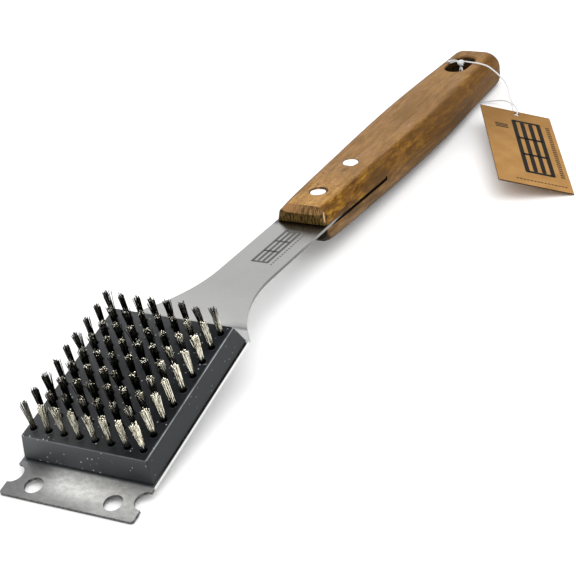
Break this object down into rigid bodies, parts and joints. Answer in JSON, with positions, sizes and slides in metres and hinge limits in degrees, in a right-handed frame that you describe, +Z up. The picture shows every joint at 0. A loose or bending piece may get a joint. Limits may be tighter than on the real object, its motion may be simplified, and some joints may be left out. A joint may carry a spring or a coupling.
{
  "type": "grill cleaning brush",
  "caption": "Grill brush with a wire bristle block on a steel scraper blade, a riveted wooden handle and a card tag on a string.",
  "frame": {"origin": "on the ground under the middle of the brush, with the brush lying bristles up on its lip and its handle's rear", "axes": "+Z up, +Y along the brush from the scraper lip to the handle, +X to the side that the tag lies on"},
  "size_m": [0.1414, 0.4593, 0.0507],
  "materials": {
    "blade_steel": "brushed satin sheet",
    "black_plastic": "moulded, slightly grained",
    "bristle_wire": "bright drawn wire",
    "screw_zinc": "zinc plated",
    "acacia_wood": "oiled, open grain",
    "rivet_aluminium": "satin",
    "white_cotton": "twisted cotton",
    "kraft_card": "uncoated brown card"
  },
  "bodies": {
    "brush": {"blade": "blade_steel", "brush_block": "black_plastic", "tuft_row_1": "bristle_wire", "tuft_row_2": "bristle_wire", "tuft_row_3": "bristle_wire", "tuft_row_4": "bristle_wire", "tuft_row_5": "bristle_wire", "tuft_row_6": "bristle_wire", "tuft_row_7": "bristle_wire", "tuft_row_8": "bristle_wire", "tuft_row_9": "bristle_wire", "block_screw_1": "screw_zinc", "block_screw_2": "screw_zinc", "block_screw_3": "screw_zinc", "block_screw_4": "screw_zinc", "handle": "acacia_wood", "rivet_front_pin": "rivet_aluminium", "rivet_front_tube": "rivet_aluminium", "rivet_rear_pin": "rivet_aluminium", "rivet_rear_tube": "rivet_aluminium", "tag_string": "white_cotton", "string_knot": "white_cotton"},
    "tag": {"hang_tag": "kraft_card"}
  },
  "joints": [
    {"name": "tag_swing", "type": "hinge", "parent": "brush", "child": "tag", "pos_m": [0.04675, 0.16686, 0.00728], "axis": [-0.2982, -0.1572, -0.9415], "range_deg": [0, 28]}
  ]
}
